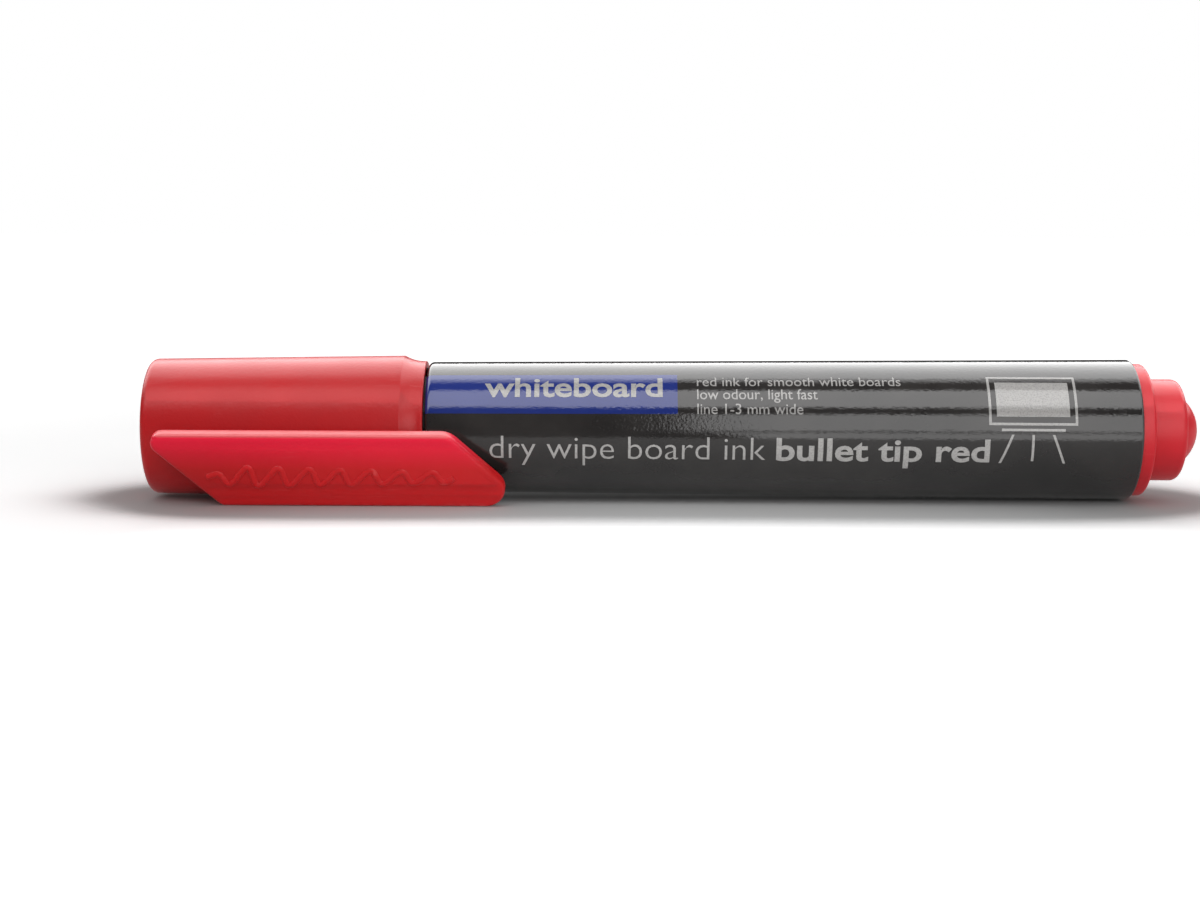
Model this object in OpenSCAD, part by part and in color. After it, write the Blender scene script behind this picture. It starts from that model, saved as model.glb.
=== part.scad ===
// Whiteboard marker: round barrel with a printed film label, a push-on cap
// with a blade clip, a sealing liner, a bullet nib and a fibre ink core.
// Everything is drawn round the marker's own axis, with x = 0 at the cap's
// mouth, and then set down on the surface that it lies on.

/* [Barrel] */
// Length from the cap's mouth to the tail end of the barrel
barrel_len = 92; // [70:0.5:130]
// Diameter over the label just behind the cap
barrel_front_d = 17.05; // [16.4:0.05:22]
// Diameter over the label at the tail end
barrel_tail_d = 18.4; // [16.4:0.1:24]
// Wall thickness of the barrel tube
barrel_wall = 1.2; // [0.8:0.1:1.6]
// Rounding of the shoulder that the cap meets
shoulder_round = 0.7; // [0.3:0.1:1]
// Rounding of the barrel's tail edge
tail_round = 0.3; // [0.1:0.1:0.8]
// Thickness of the printed film
label_t = 0.06; // [0.04:0.01:0.12]
// Bare barrel left between the shoulder's rounding and the film
label_margin = 0.2; // [0.1:0.1:1]

/* [Cap] */
// Length of the cap
cap_len = 36.1; // [29:0.1:60]
// How far the lip round the mouth stands proud of the barrel
cap_lip_step = 0.125; // [0:0.025:0.5]
// Height of the step above the lip
cap_step = 0.7; // [0.4:0.05:1.5]
// Length of the necked-down stretch from the step to the mouth
cap_neck_len = 2.9; // [2:0.1:6]
// How much narrower the closed end is than the step, on the radius
cap_taper = 0.525; // [0:0.025:1]
// Wall thickness of the cap
cap_wall = 1.2; // [0.9:0.1:1.6]
// Thickness of the cap's closed end
cap_end_wall = 1.3; // [1:0.1:2.5]
// Rounding of the closed end's rim
cap_end_round = 1; // [0.6:0.1:2.2]
// Gap between the cap's mouth and the barrel's shoulder
cap_seam = 0.3; // [0.1:0.1:0.8]
// Number of gripping ribs inside the cap
cap_ribs = 8; // [4:1:12]
// Thickness of each gripping rib
cap_rib_t = 0.8; // [0.6:0.1:1.2]

/* [Clip] */
// Thickness of the clip's blade
clip_t = 1.5; // [1.2:0.1:2]
// Height of the blade, edge to edge
clip_h = 10.4; // [8:0.1:14]
// Length of the blade's long edges, from one sharp corner to the next
clip_edge_len = 39.8; // [30:0.1:60]
// How far the lower edge is shifted from the upper edge along the marker
clip_lean = 10.2; // [2:0.1:14]
// How far the upper edge's sharp corner stands in from the closed end
clip_inset = 0; // [0:0.1:6]
// Rounding of the blade's sharp corner at the closed end
clip_heel_round = 1.5; // [0.5:0.1:2]
// Rounding of the blade's sharp corner at the free end
clip_toe_round = 2.5; // [0.5:0.1:3]
// Rounding of the blade's two blunt corners
clip_blunt_round = 2.2; // [0.5:0.1:3]
// Air between the blade and the widest part of the cap
clip_gap = 0.45; // [0.3:0.05:1.5]
// Length of the bridge that joins the blade to the cap
bridge_len = 9; // [5:0.5:14]
// Height of that bridge
bridge_h = 5; // [3:0.1:7]

/* [Neck, nose and nib] */
// Diameter that the cap's ribs slide on, both at the neck and at the tail post
fit_d = 13.3; // [11:0.1:13.8]
// Length of the barrel's neck under the cap
neck_len = 8; // [5:0.5:10]
// Wall thickness of the neck
neck_wall = 1; // [0.7:0.1:1.4]
// Length of the nose's sealing land
seal_len = 3.5; // [2:0.5:4]
// Wall of the hollow nose section
nose_wall = 1.1; // [0.8:0.1:1.3]
// Diameter of the fibre nib
nib_d = 4.8; // [3:0.1:6]
// Length of nib that shows in front of the nose
nib_out = 5.8; // [3:0.1:6]
// Air between the nib's tip and the liner's floor
nib_air = 6.1; // [1:0.1:7]
// Width across the writing tip's small flat
nib_tip_d = 1.4; // [0.6:0.1:2.5]
// Length of nib that is pushed into the ink core
nib_in = 10; // [5:0.5:15]
// Wall of the cap's sealing liner
liner_wall = 0.85; // [0.6:0.05:1]

/* [Ink core] */
// Air between the ink core's film and the barrel's bore, where that is least
core_air = 0.75; // [0.2:0.05:2]
// Empty stretch between the ink core and the end plug
core_end_air = 8.5; // [1:0.5:20]
// Thickness of the film round the core
wrap_t = 0.12; // [0.08:0.01:0.25]

/* [End plug] */
// How far the flange stands in from the barrel's tail, on the radius
flange_step = 0.55; // [0.2:0.05:1]
// Thickness of the flange
flange_t = 1.75; // [1:0.05:3]
// Rounding of the flange's rim
flange_round = 0.5; // [0.2:0.1:0.8]
// Length of the post behind the flange
post_len = 4.7; // [3:0.1:10]
// Rounding of the post's rim
post_round = 0.9; // [0.3:0.1:1.5]
// Radius of the pip's dome
pip_r = 5.5; // [4.8:0.1:8]
// Height of the pip above the post
pip_h = 2.6; // [1:0.1:3]
// Length of the plug inside the barrel
plug_in = 7; // [5:0.5:10]
// Wall of the hollow plug
plug_wall = 1.2; // [0.9:0.1:1.6]

/* [Hidden] */
$fn = 96;

// Clearances: cap ribs on the neck, nose in the liner, liner in the cap's ribs,
// ink core in its seat, and the plug's squeeze in the barrel
slide_gap = 0.07;
seal_gap = 0.04;
turn_gap = 0.03;
core_slack = 0.05;
plug_squeeze = 0.03;
// How far a cutting shape runs past what it cuts, and how far joined shapes sink in
past = 1;
sunk = 0.2;
// Small chamfers on the neck, the liner, the plug and the nose
chamfer = 0.4;

// Radii
fit_r = fit_d / 2;
nib_r = nib_d / 2;
front_r = barrel_front_d / 2;
tail_r = barrel_tail_d / 2;
lip_r = front_r + cap_lip_step;
crest_r = lip_r + cap_step;
end_r = crest_r - cap_taper;
flange_r = tail_r - flange_step;
rest_r = max(crest_r, tail_r);
neck_bore_r = fit_r - neck_wall;
grip_r = fit_r + slide_gap;
liner_r = grip_r - turn_gap;
liner_bore_r = liner_r - liner_wall;
seal_r = liner_bore_r - seal_gap;
cap_hollow_r = lip_r - cap_wall + 0.25;

// Places along the axis, x = 0 at the cap's mouth
shoulder_x = cap_seam;
label_x = shoulder_x + shoulder_round + label_margin;
tail_x = barrel_len;
neck_x = -neck_len;
crest_x = -cap_neck_len;
cap_end_x = -cap_len;
cap_floor_x = cap_end_x + cap_end_wall;
rib_mouth_x = -0.8;
liner_floor_x = cap_floor_x + turn_gap;
liner_mouth_x = neck_x - 2;
land_front_x = liner_mouth_x - 1.2 - seal_len;
land_back_x = liner_mouth_x - chamfer;
nib_tip_x = liner_floor_x + liner_wall + nib_air;
nose_x = nib_tip_x + nib_out;
core_x = shoulder_x + 2.2;
core_end_x = tail_x - plug_in - core_end_air;
nib_end_x = core_x + nib_in;
plug_x = tail_x - plug_in;
flange_x = tail_x + flange_t;
post_x = flange_x + post_len;
pip_x = post_x + pip_h;
pip_edge = 90 - asin(sqrt(pip_h * (2 * pip_r - pip_h)) / pip_r);

// Slope of the barrel's outside, and radii of the film, the skin under it and
// the bore at x
barrel_slope = (tail_r - front_r) / (tail_x - shoulder_x);
function film_r(x) = front_r + barrel_slope * (x - shoulder_x);
function skin_r(x) = film_r(x) - label_t;
function bore_r(x) = skin_r(x) - barrel_wall;
// Radius of the cap's outside at x, ahead of the step
function cap_r(x) = end_r + (crest_r - end_r) * (x - cap_end_x) / (crest_x - cap_end_x);
wrap_r = min(bore_r(core_x), bore_r(core_end_x)) - core_air;
core_r = wrap_r - wrap_t;

// The blade stands clear of the cap, and is drawn level before the cap is turned
blade_in_y = rest_r + clip_gap;
blade_out_y = blade_in_y + clip_t;
blade_x = cap_end_x + clip_inset;
bridge_x = blade_x + clip_lean;
bead_x = blade_x + clip_edge_len;
bead_gap = 0.35;
// Turn of the cap at which the blade's lower edge just reaches the surface
lie_turn = asin(rest_r / norm([blade_out_y, clip_h / 2])) - atan(clip_h / 2 / blade_out_y);
blade_reach_y = blade_out_y * cos(lie_turn) + clip_h / 2 * sin(lie_turn);

// Middle of the marker's box, which the origin goes under
box_mid_x = (cap_end_x + pip_x) / 2;
box_mid_y = (rest_r - blade_reach_y) / 2;

// Sets what was drawn round the axis down on the surface
module placed() {
    translate([-box_mid_x, -box_mid_y, rest_r])
        children();
}

// Turns an outline of [radius, x] points round the marker's axis
module turned(points) {
    rotate([0, 90, 0])
        rotate_extrude()
            polygon(points);
}

// Straight rod along the axis from x0 to x1
module rod(x0, x1, r) {
    translate([x0, 0, 0])
        rotate([0, 90, 0])
            cylinder(h = x1 - x0, r = r);
}

// Points of an arc about [cr, cx], as [radius, x]
function arc(cr, cx, r, a0, a1, steps = 8) =
    [for (i = [0:steps]) let (a = a0 + (a1 - a0) * i / steps) [cr + r * cos(a), cx + r * sin(a)]];

// Concave sweep from the foot of the step down to the lip
function neck_sweep(steps = 8) =
    let (foot = 0.12, start = 0.25, end = 0.5)
    [for (i = [0:steps]) [
        lip_r + (cap_step - foot) * pow(1 - i / steps, 2),
        crest_x + start + (cap_neck_len - start - end) * i / steps]];

// Closed shell of the cap with its necked-down mouth
module cap_shell() {
    difference() {
        turned(concat(
            [[0, cap_end_x]],
            arc(end_r - cap_end_round, cap_end_x + cap_end_round, cap_end_round, -90, 0),
            [[crest_r, crest_x]],
            neck_sweep(),
            [[lip_r, 0], [0, 0]]));
        turned([
            [0, cap_floor_x],
            [cap_r(cap_floor_x) - cap_wall, cap_floor_x],
            [cap_hollow_r, crest_x],
            [cap_hollow_r, past],
            [0, past]]);
    }
}

// Gripping ribs round the inside of the cap, stopping short of its mouth
module cap_grip() {
    root_end_r = end_r - cap_wall / 2;
    root_lip_r = lip_r - cap_wall / 2;
    intersection() {
        turned([
            [grip_r, cap_floor_x - sunk],
            [root_end_r, cap_floor_x - sunk],
            [root_lip_r, crest_x],
            [root_lip_r, rib_mouth_x],
            [grip_r, rib_mouth_x]]);
        for (i = [0:cap_ribs - 1])
            rotate([360 * (i + 0.5) / cap_ribs, 0, 0])
                translate([cap_floor_x - sunk, -cap_rib_t / 2, 0])
                    cube([cap_len, cap_rib_t, crest_r]);
    }
}

// Outline of the blade in [x, z]: a leaning parallelogram with round corners,
// each corner given as [x, z, rounding]
module blade_outline(steps = 6) {
    corners = [
        [blade_x, clip_h / 2, clip_heel_round],
        [blade_x + clip_edge_len, clip_h / 2, clip_blunt_round],
        [blade_x + clip_edge_len + clip_lean, -clip_h / 2, clip_toe_round],
        [blade_x + clip_lean, -clip_h / 2, clip_blunt_round]];
    n = len(corners);
    function at(i) = [corners[i % n][0], corners[i % n][1]];
    polygon([for (i = [0:n - 1]) each
        let (
            r = corners[i][2],
            u = (at(i + n - 1) - at(i)) / norm(at(i + n - 1) - at(i)),
            v = (at(i + 1) - at(i)) / norm(at(i + 1) - at(i)),
            half = acos(u * v) / 2,
            centre = at(i) + (u + v) / norm(u + v) * r / sin(half),
            start = at(i) + u * r / tan(half) - centre,
            from = atan2(start[1], start[0]),
            turn = 180 - 2 * half)
        [for (k = [0:steps]) let (a = from - turn * k / steps) centre + r * [cos(a), sin(a)]]]);
}

// Blade of the clip, with the bead behind it that grips a pocket
module clip_blade() {
    translate([0, -blade_in_y, 0])
        rotate([90, 0, 0])
            linear_extrude(height = clip_t)
                blade_outline();
    translate([bead_x, -blade_in_y - sunk, 0])
        sphere(r = blade_in_y - film_r(bead_x) - bead_gap + sunk);
}

// Bridge that carries the blade, sunk into it and into the cap's wall
module clip_bridge() {
    difference() {
        translate([bridge_x, -blade_in_y - sunk, -bridge_h / 2])
            cube([bridge_len, blade_in_y, bridge_h]);
        rod(cap_end_x, past, cap_r(bridge_x) - cap_wall / 2);
    }
}

// Cap and clip, one moulding, turned so that the blade's edge is on the surface
module cap() {
    color("crimson")
        placed()
            rotate([lie_turn, 0, 0]) {
                cap_shell();
                cap_grip();
                clip_blade();
                clip_bridge();
            }
}

// Soft cup inside the cap that seals on the nose
module cap_liner() {
    color("whitesmoke")
        placed()
            turned([
                [0, liner_floor_x],
                [liner_r - chamfer, liner_floor_x],
                [liner_r, liner_floor_x + chamfer],
                [liner_r, liner_mouth_x],
                [liner_bore_r + chamfer, liner_mouth_x],
                [liner_bore_r, liner_mouth_x - chamfer],
                [liner_bore_r, liner_floor_x + liner_wall],
                [0, liner_floor_x + liner_wall]]);
}

// Barrel: neck and shoulder in front, a seat for the ink core, open tube behind
module barrel() {
    seat_len = 1.5;
    ramp_len = 6;
    round_x = shoulder_x + shoulder_round;
    color("dimgray")
        placed()
            difference() {
                turned(concat(
                    [[0, neck_x], [fit_r - chamfer, neck_x], [fit_r, neck_x + chamfer], [fit_r, shoulder_x]],
                    arc(skin_r(round_x) - shoulder_round, round_x, shoulder_round, -90, 0),
                    [[skin_r(tail_x - tail_round), tail_x - tail_round],
                        [skin_r(tail_x) - tail_round, tail_x],
                        [0, tail_x]]));
                rod(neck_x - past, core_x + past, neck_bore_r);
                turned([
                    [0, core_x],
                    [wrap_r + core_slack, core_x],
                    [wrap_r + core_slack, core_x + seat_len],
                    [bore_r(core_x + ramp_len), core_x + ramp_len],
                    [bore_r(tail_x), tail_x],
                    [bore_r(tail_x), tail_x + past],
                    [0, tail_x + past]]);
            }
}

// Printed film, wrapped round the barrel's skin
module barrel_label() {
    color("black")
        placed()
            turned([
                [skin_r(label_x), label_x],
                [skin_r(tail_x - tail_round), tail_x - tail_round],
                [film_r(tail_x - tail_round), tail_x - tail_round],
                [film_r(label_x), label_x]]);
}

// Front section: pressed into the neck, seals in the liner and holds the nib
module nose_section() {
    tip_wall = 1;
    cone_r = max(seal_r - 1.3, nib_r + 1.35);
    groove_w = 0.6;
    groove_d = 0.35;
    chamber_r = neck_bore_r - nose_wall;
    color("silver")
        placed()
            difference() {
                turned([
                    [0, nose_x],
                    [nib_r + tip_wall, nose_x],
                    [nib_r + tip_wall + 0.3, nose_x + chamfer],
                    [cone_r, land_front_x - 0.8],
                    [seal_r, land_front_x],
                    [seal_r, land_back_x],
                    [fit_r - 0.25, neck_x],
                    [neck_bore_r, neck_x],
                    [neck_bore_r, core_x],
                    [0, core_x]]);
                // room for the nib
                rod(nose_x - past, core_x + past, nib_r);
                // air chamber behind the tip
                turned([
                    [0, land_front_x + 0.5],
                    [seal_r - nose_wall, land_front_x + 1.5],
                    [chamber_r, neck_x],
                    [chamber_r, core_x + past],
                    [0, core_x + past]]);
                // air grooves beside the nib
                for (a = [45, 225])
                    rotate([a, 0, 0])
                        translate([nose_x - past, -groove_w / 2, 0])
                            cube([land_front_x - nose_x + 2 * past, groove_w, nib_r + groove_d]);
            }
}

// Rear of the nib, which the ink core has a matching hole for
function nib_rear() = [[nib_r, nib_end_x - 1.5], [0.5, nib_end_x], [0, nib_end_x]];

// Bullet nib of bonded fibre
module nib(steps = 8) {
    flat_r = nib_tip_d / 2;
    tip_len = nib_r - flat_r + 0.9;
    color("orangered")
        placed()
            turned(concat(
                [[0, nib_tip_x]],
                [for (i = [0:steps]) let (a = 90 * i / steps)
                    [flat_r + (nib_r - flat_r) * sin(a), nib_tip_x + tip_len * (1 - cos(a))]],
                nib_rear()));
}

// Fibre ink core, with the nib's rear end pushed into it
module ink_reservoir() {
    color("mistyrose")
        placed()
            difference() {
                rod(core_x, core_end_x, core_r);
                turned(concat([[0, core_x - past], [nib_r, core_x - past]], nib_rear()));
            }
}

// Film jacket round the ink core
module reservoir_wrap() {
    color("lightcyan")
        placed()
            difference() {
                rod(core_x, core_end_x, wrap_r);
                rod(core_x - past, core_end_x + past, core_r);
            }
}

// Plug pressed into the tail, hollow from the inside, with a post and a domed pip
module end_plug() {
    lead_len = 1.5;
    hollow_r = bore_r(plug_x) - plug_wall;
    color("crimson")
        placed()
            difference() {
                turned(concat(
                    [[0, plug_x],
                        [bore_r(plug_x) - chamfer, plug_x],
                        [bore_r(plug_x + lead_len) + plug_squeeze, plug_x + lead_len],
                        [bore_r(tail_x) + plug_squeeze, tail_x],
                        [flange_r, tail_x]],
                    arc(flange_r - flange_round, flange_x - flange_round, flange_round, 0, 90, 5),
                    [[fit_r, flange_x]],
                    arc(fit_r - post_round, post_x - post_round, post_round, 0, 90),
                    arc(0, pip_x - pip_r, pip_r, pip_edge, 90)));
                turned([
                    [0, plug_x - past],
                    [hollow_r, plug_x - past],
                    [hollow_r, tail_x - 0.5],
                    [fit_r - plug_wall, tail_x + 1],
                    [fit_r - plug_wall, post_x - plug_wall - chamfer],
                    [0, post_x - plug_wall]]);
            }
}

cap();
cap_liner();
barrel();
barrel_label();
nose_section();
nib();
ink_reservoir();
reservoir_wrap();
end_plug();
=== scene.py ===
import math

import bmesh
import bpy
from mathutils import Matrix, Vector


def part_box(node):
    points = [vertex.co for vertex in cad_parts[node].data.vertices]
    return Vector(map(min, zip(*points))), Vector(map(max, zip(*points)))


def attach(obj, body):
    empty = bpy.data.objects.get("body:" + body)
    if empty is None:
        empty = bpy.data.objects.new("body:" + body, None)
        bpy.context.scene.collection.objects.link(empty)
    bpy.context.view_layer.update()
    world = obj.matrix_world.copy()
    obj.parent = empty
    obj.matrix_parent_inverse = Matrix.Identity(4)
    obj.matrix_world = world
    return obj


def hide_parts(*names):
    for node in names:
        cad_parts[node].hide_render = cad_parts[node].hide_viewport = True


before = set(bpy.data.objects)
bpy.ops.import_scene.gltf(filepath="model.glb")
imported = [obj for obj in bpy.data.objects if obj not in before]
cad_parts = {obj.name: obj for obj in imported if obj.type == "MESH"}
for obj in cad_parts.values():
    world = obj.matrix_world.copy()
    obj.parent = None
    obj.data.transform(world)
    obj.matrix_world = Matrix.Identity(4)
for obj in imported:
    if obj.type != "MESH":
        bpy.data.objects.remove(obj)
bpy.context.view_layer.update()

mm = 0.001

# the marker's own axis; x is measured from the cap's mouth, one neck length behind the barrel's front
neckLen = 8
barrelLow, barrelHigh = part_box("barrel")
mouth = Vector((barrelLow.x + neckLen * mm, (barrelLow.y + barrelHigh.y) / 2,
                (barrelLow.z + barrelHigh.z) / 2))


def alongAxis(x):
    return (x - mouth.x) / mm


tailX = alongAxis(barrelHigh.x)
capEndX = alongAxis(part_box("cap")[0].x)
linerEndX = alongAxis(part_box("cap_liner")[0].x)
linerMouthX = alongAxis(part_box("cap_liner")[1].x)
nibTipX = alongAxis(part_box("nib")[0].x)
noseX = alongAxis(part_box("nose_section")[0].x)
coreX = alongAxis(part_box("ink_reservoir")[0].x)
plugX = alongAxis(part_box("end_plug")[0].x)
pipX = alongAxis(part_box("end_plug")[1].x)
filmLow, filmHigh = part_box("barrel_label")
tailR = (filmHigh.z - filmLow.z) / 2 / mm
crestR = mouth.z / mm
linerR = (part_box("cap_liner")[1].z - mouth.z) / mm
print(f"frame loaded: mouth {mouth.x:.4f}, tail {tailX:.2f}, cap end {capEndX:.2f}")


# working in edit mode
def clearSelection():
    if bpy.context.object and bpy.context.object.mode != "OBJECT":
        bpy.ops.object.mode_set(mode="OBJECT")
    bpy.ops.object.select_all(action="DESELECT")


def only(piece):
    clearSelection()
    piece.select_set(True)
    bpy.context.view_layer.objects.active = piece


def selectWhere(piece, kind, test):
    # in edit mode: selects the verts, edges or faces that pass the test, which gets their places in mm
    bpy.ops.mesh.select_mode(type={"verts": "VERT", "edges": "EDGE", "faces": "FACE"}[kind])
    bpy.ops.mesh.select_all(action="DESELECT")
    mesh = bmesh.from_edit_mesh(piece.data)
    for item in getattr(mesh, kind):
        if kind == "verts":
            item.select = test(item.co / mm)
        elif kind == "edges":
            item.select = test(*[v.co / mm for v in item.verts])
        else:
            item.select = test(item.calc_center_median() / mm, item.normal)
    mesh.select_flush_mode()
    bmesh.update_edit_mesh(piece.data)


def smooth(piece, angle=32):
    only(piece)
    bpy.ops.object.shade_smooth_by_angle(angle=math.radians(angle))


def startBox(name, size, middle):
    # a box of this size round its middle, both in mm; it is left in edit mode
    clearSelection()
    bpy.ops.mesh.primitive_cube_add(size=1)
    piece = bpy.context.object
    piece.name = name
    piece.scale = [side * mm for side in size]
    bpy.ops.object.transform_apply(scale=True)
    bpy.ops.object.mode_set(mode="EDIT")
    bpy.ops.mesh.select_all(action="SELECT")
    bpy.ops.transform.translate(value=[place * mm for place in middle])
    return piece


def thicken():
    # in edit mode: what is selected becomes one unit thick, and edit mode is left
    bpy.ops.mesh.extrude_region_move(TRANSFORM_OT_translate={"value": (0, 0, 1)})
    bpy.ops.mesh.select_all(action="SELECT")
    bpy.ops.mesh.normals_make_consistent(inside=False)
    bpy.ops.object.mode_set(mode="OBJECT")


def settle(piece, turn=0):
    # what was made round the world's X axis goes to the marker's axis, with its place in its mesh
    only(piece)
    piece.location = mouth
    piece.rotation_euler = (turn, 0, 0)
    bpy.ops.object.transform_apply(location=True, rotation=True, scale=True)


def joined(name, first, *others):
    clearSelection()
    for piece in (first, *others):
        piece.select_set(True)
    bpy.context.view_layer.objects.active = first
    bpy.ops.object.join()
    first.name = name
    first.data.name = name
    return first


def finished(piece, body, slot, material, *nodes):
    piece.data.materials.clear()
    piece.data.materials.append(material)
    for face in piece.data.polygons:
        face.material_index = 0
    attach(piece, body)
    if nodes:
        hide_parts(*nodes)
    print(f"{piece.name}: {len(piece.data.polygons)} faces on {body}")


# turned pieces; welds are in metres
turning = {"arcStep": 9, "leastSteps": 3, "lineWeld": 1e-7, "seamWeld": 2e-6}


def softOutline(corners, closed):
    # corners are (x, r) or (x, r, rounding); a rounded corner becomes an arc
    points = []
    count = len(corners)
    for i, corner in enumerate(corners):
        here = Vector(corner[:2])
        rounding = corner[2] if len(corner) > 2 else 0
        if not rounding or (not closed and i in (0, count - 1)):
            points.append(here)
            continue
        before = (Vector(corners[i - 1][:2]) - here).normalized()
        after = (Vector(corners[(i + 1) % count][:2]) - here).normalized()
        half = before.angle(after) / 2
        centre = here + (before + after).normalized() * (rounding / math.sin(half))
        start = here + before * (rounding / math.tan(half)) - centre
        end = here + after * (rounding / math.tan(half)) - centre
        sweep = math.atan2(start.cross(end), start.dot(end))
        steps = max(turning["leastSteps"], round(abs(sweep) / math.radians(turning["arcStep"])))
        for k in range(steps + 1):
            angle = sweep * k / steps
            turned = Vector((start.x * math.cos(angle) - start.y * math.sin(angle),
                             start.x * math.sin(angle) + start.y * math.cos(angle)))
            points.append(centre + turned)
    return points


def drawLine(name, spots):
    # one vertex is extruded from spot to spot; the piece is left in edit mode
    clearSelection()
    bpy.ops.mesh.primitive_plane_add(size=mm)
    piece = bpy.context.object
    piece.name = name
    piece.data.name = name
    bpy.ops.object.mode_set(mode="EDIT")
    bpy.ops.mesh.select_mode(type="VERT")
    bpy.ops.mesh.select_all(action="SELECT")
    bpy.ops.mesh.merge(type="CENTER")
    bpy.ops.transform.translate(value=spots[0])
    for here, there in zip(spots, spots[1:]):
        bpy.ops.mesh.extrude_region_move(TRANSFORM_OT_translate={"value": there - here})
    bpy.ops.mesh.select_all(action="SELECT")
    bpy.ops.mesh.remove_doubles(threshold=turning["lineWeld"])
    return piece


def turnProfile(name, corners, closed=True, steps=168, angle=32):
    # the outline is spun round the X axis
    points = softOutline(corners, closed)
    if closed:
        points.append(points[0])
    piece = drawLine(name, [Vector((x, 0, r)) * mm for x, r in points])
    bpy.ops.mesh.spin(steps=steps, angle=2 * math.pi, center=(0, 0, 0), axis=(1, 0, 0))
    bpy.ops.mesh.select_all(action="SELECT")
    bpy.ops.mesh.remove_doubles(threshold=turning["seamWeld"])
    bpy.ops.mesh.normals_make_consistent(inside=False)
    bpy.ops.object.mode_set(mode="OBJECT")
    smooth(piece, angle)
    return piece


# nodes
def newGroup(name, inputs, outputs):
    group = bpy.data.node_groups.new(name, "ShaderNodeTree")
    for label, value in inputs:
        socket = group.interface.new_socket(name=label, in_out="INPUT", socket_type="NodeSocketFloat")
        socket.default_value = value
    for label in outputs:
        group.interface.new_socket(name=label, in_out="OUTPUT", socket_type="NodeSocketFloat")
    return group, group.nodes.new("NodeGroupInput"), group.nodes.new("NodeGroupOutput")


def addNode(tree, kind, settings=None, **values):
    # values are plain numbers or sockets to link; in0, in1 and so on name an input by its place
    node = tree.nodes.new("ShaderNode" + kind)
    for key, value in (settings or {}).items():
        setattr(node, key, value)
    for label, value in values.items():
        byPlace = label.startswith("in") and label[2:].isdigit()
        socket = node.inputs[int(label[2:]) if byPlace else label]
        if isinstance(value, bpy.types.NodeSocket):
            tree.links.new(value, socket)
        else:
            socket.default_value = value
    return node


def objectSpot(tree, scale=(1, 1, 1), location=(0, 0, 0)):
    coords = addNode(tree, "TexCoord")
    return addNode(tree, "Mapping", Vector=coords.outputs["Object"], Location=location,
                   Scale=scale).outputs["Vector"]


def cloudy(tree, spot, scale, detail, **more):
    return addNode(tree, "TexNoise", Vector=spot, Scale=scale, Detail=detail, **more).outputs["Fac"]


def stretched(tree, value, low, high, to0=0.0, to1=1.0, kind="LINEAR"):
    return addNode(tree, "MapRange", {"clamp": True, "interpolation_type": kind}, Value=value, **{
        "From Min": low, "From Max": high, "To Min": to0, "To Max": to1}).outputs["Result"]


def maths(tree, operation, a, b=0.0):
    return addNode(tree, "Math", {"operation": operation}, in0=a, in1=b).outputs["Value"]


def mixShaders(tree, mask, first, second):
    node = addNode(tree, "MixShader", in0=mask)
    tree.links.new(first, node.inputs[1])
    tree.links.new(second, node.inputs[2])
    return node.outputs["Shader"]


# what the shared surface patterns are made of: noise scales, and the parts of the noise that count
grainForm = {"detail": 2.0, "cloudDetail": 3.0, "cloud": (0.3, 0.7), "scratchStretch": (0.06, 1, 1),
             "scratchScale": 2600.0, "scratch": (0.64, 0.72), "patch": (0.48, 0.62)}
wearForm = {"scale": 700.0, "detail": 4.0, "gaps": (0.4, 0.65)}
rippleForm = {"detail": 3.0, "uneven": 0.55, "pullStretch": (0.12, 1, 1), "pullScale": 700.0, "pull": 0.25,
              "cloudScale": 120.0, "cloudDetail": 4.0, "cloud": (0.35, 0.7)}
fibreForm = {"stretch": (0.05, 1, 1), "detail": 4.0, "streak": (0.38, 0.62), "cloudScale": 260.0,
             "cloudDetail": 3.0, "cloud": (0.35, 0.65)}


def makeGrainGroup():
    # fine grain, slow cloudy variation and thin handling scratches of a moulded surface
    group, give, take = newGroup("mouldedGrain", [("Grain Scale", 1600), ("Cloud Scale", 90)],
                                 ["Height", "Cloud", "Scratch"])
    form = grainForm
    spot = objectSpot(group)
    fine = cloudy(group, spot, give.outputs["Grain Scale"], form["detail"])
    cloud = cloudy(group, spot, give.outputs["Cloud Scale"], form["cloudDetail"])
    along = objectSpot(group, scale=form["scratchStretch"])
    lines = stretched(group, cloudy(group, along, form["scratchScale"], 2.0), *form["scratch"])
    scratch = maths(group, "MULTIPLY", lines, stretched(group, cloud, *form["patch"]))
    group.links.new(fine, take.inputs["Height"])
    group.links.new(stretched(group, cloud, *form["cloud"]), take.inputs["Cloud"])
    group.links.new(scratch, take.inputs["Scratch"])
    return group


def makeWearGroup():
    # rubbed, slightly paler edges, broken up by noise
    group, give, take = newGroup("edgeWear", [("Start", 0.53), ("End", 0.62)], ["Wear"])
    bend = addNode(group, "NewGeometry").outputs["Pointiness"]
    mask = stretched(group, bend, give.outputs["Start"], give.outputs["End"])
    broken = cloudy(group, objectSpot(group), wearForm["scale"], wearForm["detail"])
    wear = maths(group, "MULTIPLY", mask, stretched(group, broken, *wearForm["gaps"]))
    group.links.new(wear, take.inputs["Wear"])
    return group


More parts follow.
